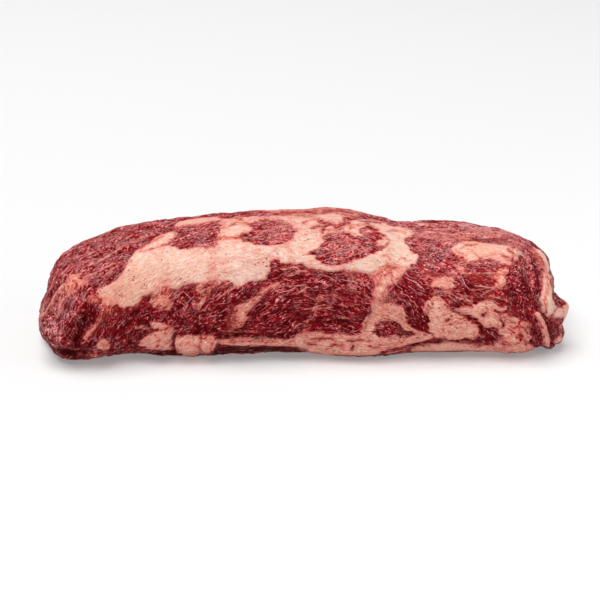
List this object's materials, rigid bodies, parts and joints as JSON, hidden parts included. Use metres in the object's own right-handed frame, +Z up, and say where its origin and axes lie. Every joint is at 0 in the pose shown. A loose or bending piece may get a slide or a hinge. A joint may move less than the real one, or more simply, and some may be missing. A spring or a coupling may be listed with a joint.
{
  "type": "raw beef chuck eye roast",
  "caption": "Long boneless raw beef roast, a rounded loaf of lean muscle marbled with fat, lying on its flat underside with one end cut across.",
  "frame": {"origin": "middle of the footprint, on the surface that the roast lies on", "axes": "+X along the roast towards the end that is cut across, -Y towards the side that shows the broad fat seams, +Z up"},
  "size_m": [0.4, 0.1464, 0.0934],
  "materials": {
    "meat": "wet raw beef: dark red lean with a fibrous grain, broad sheets and seams of cream to pink fat, glossy where it is damp"
  },
  "bodies": {
    "root": {"roast": "meat"}
  },
  "joints": []
}
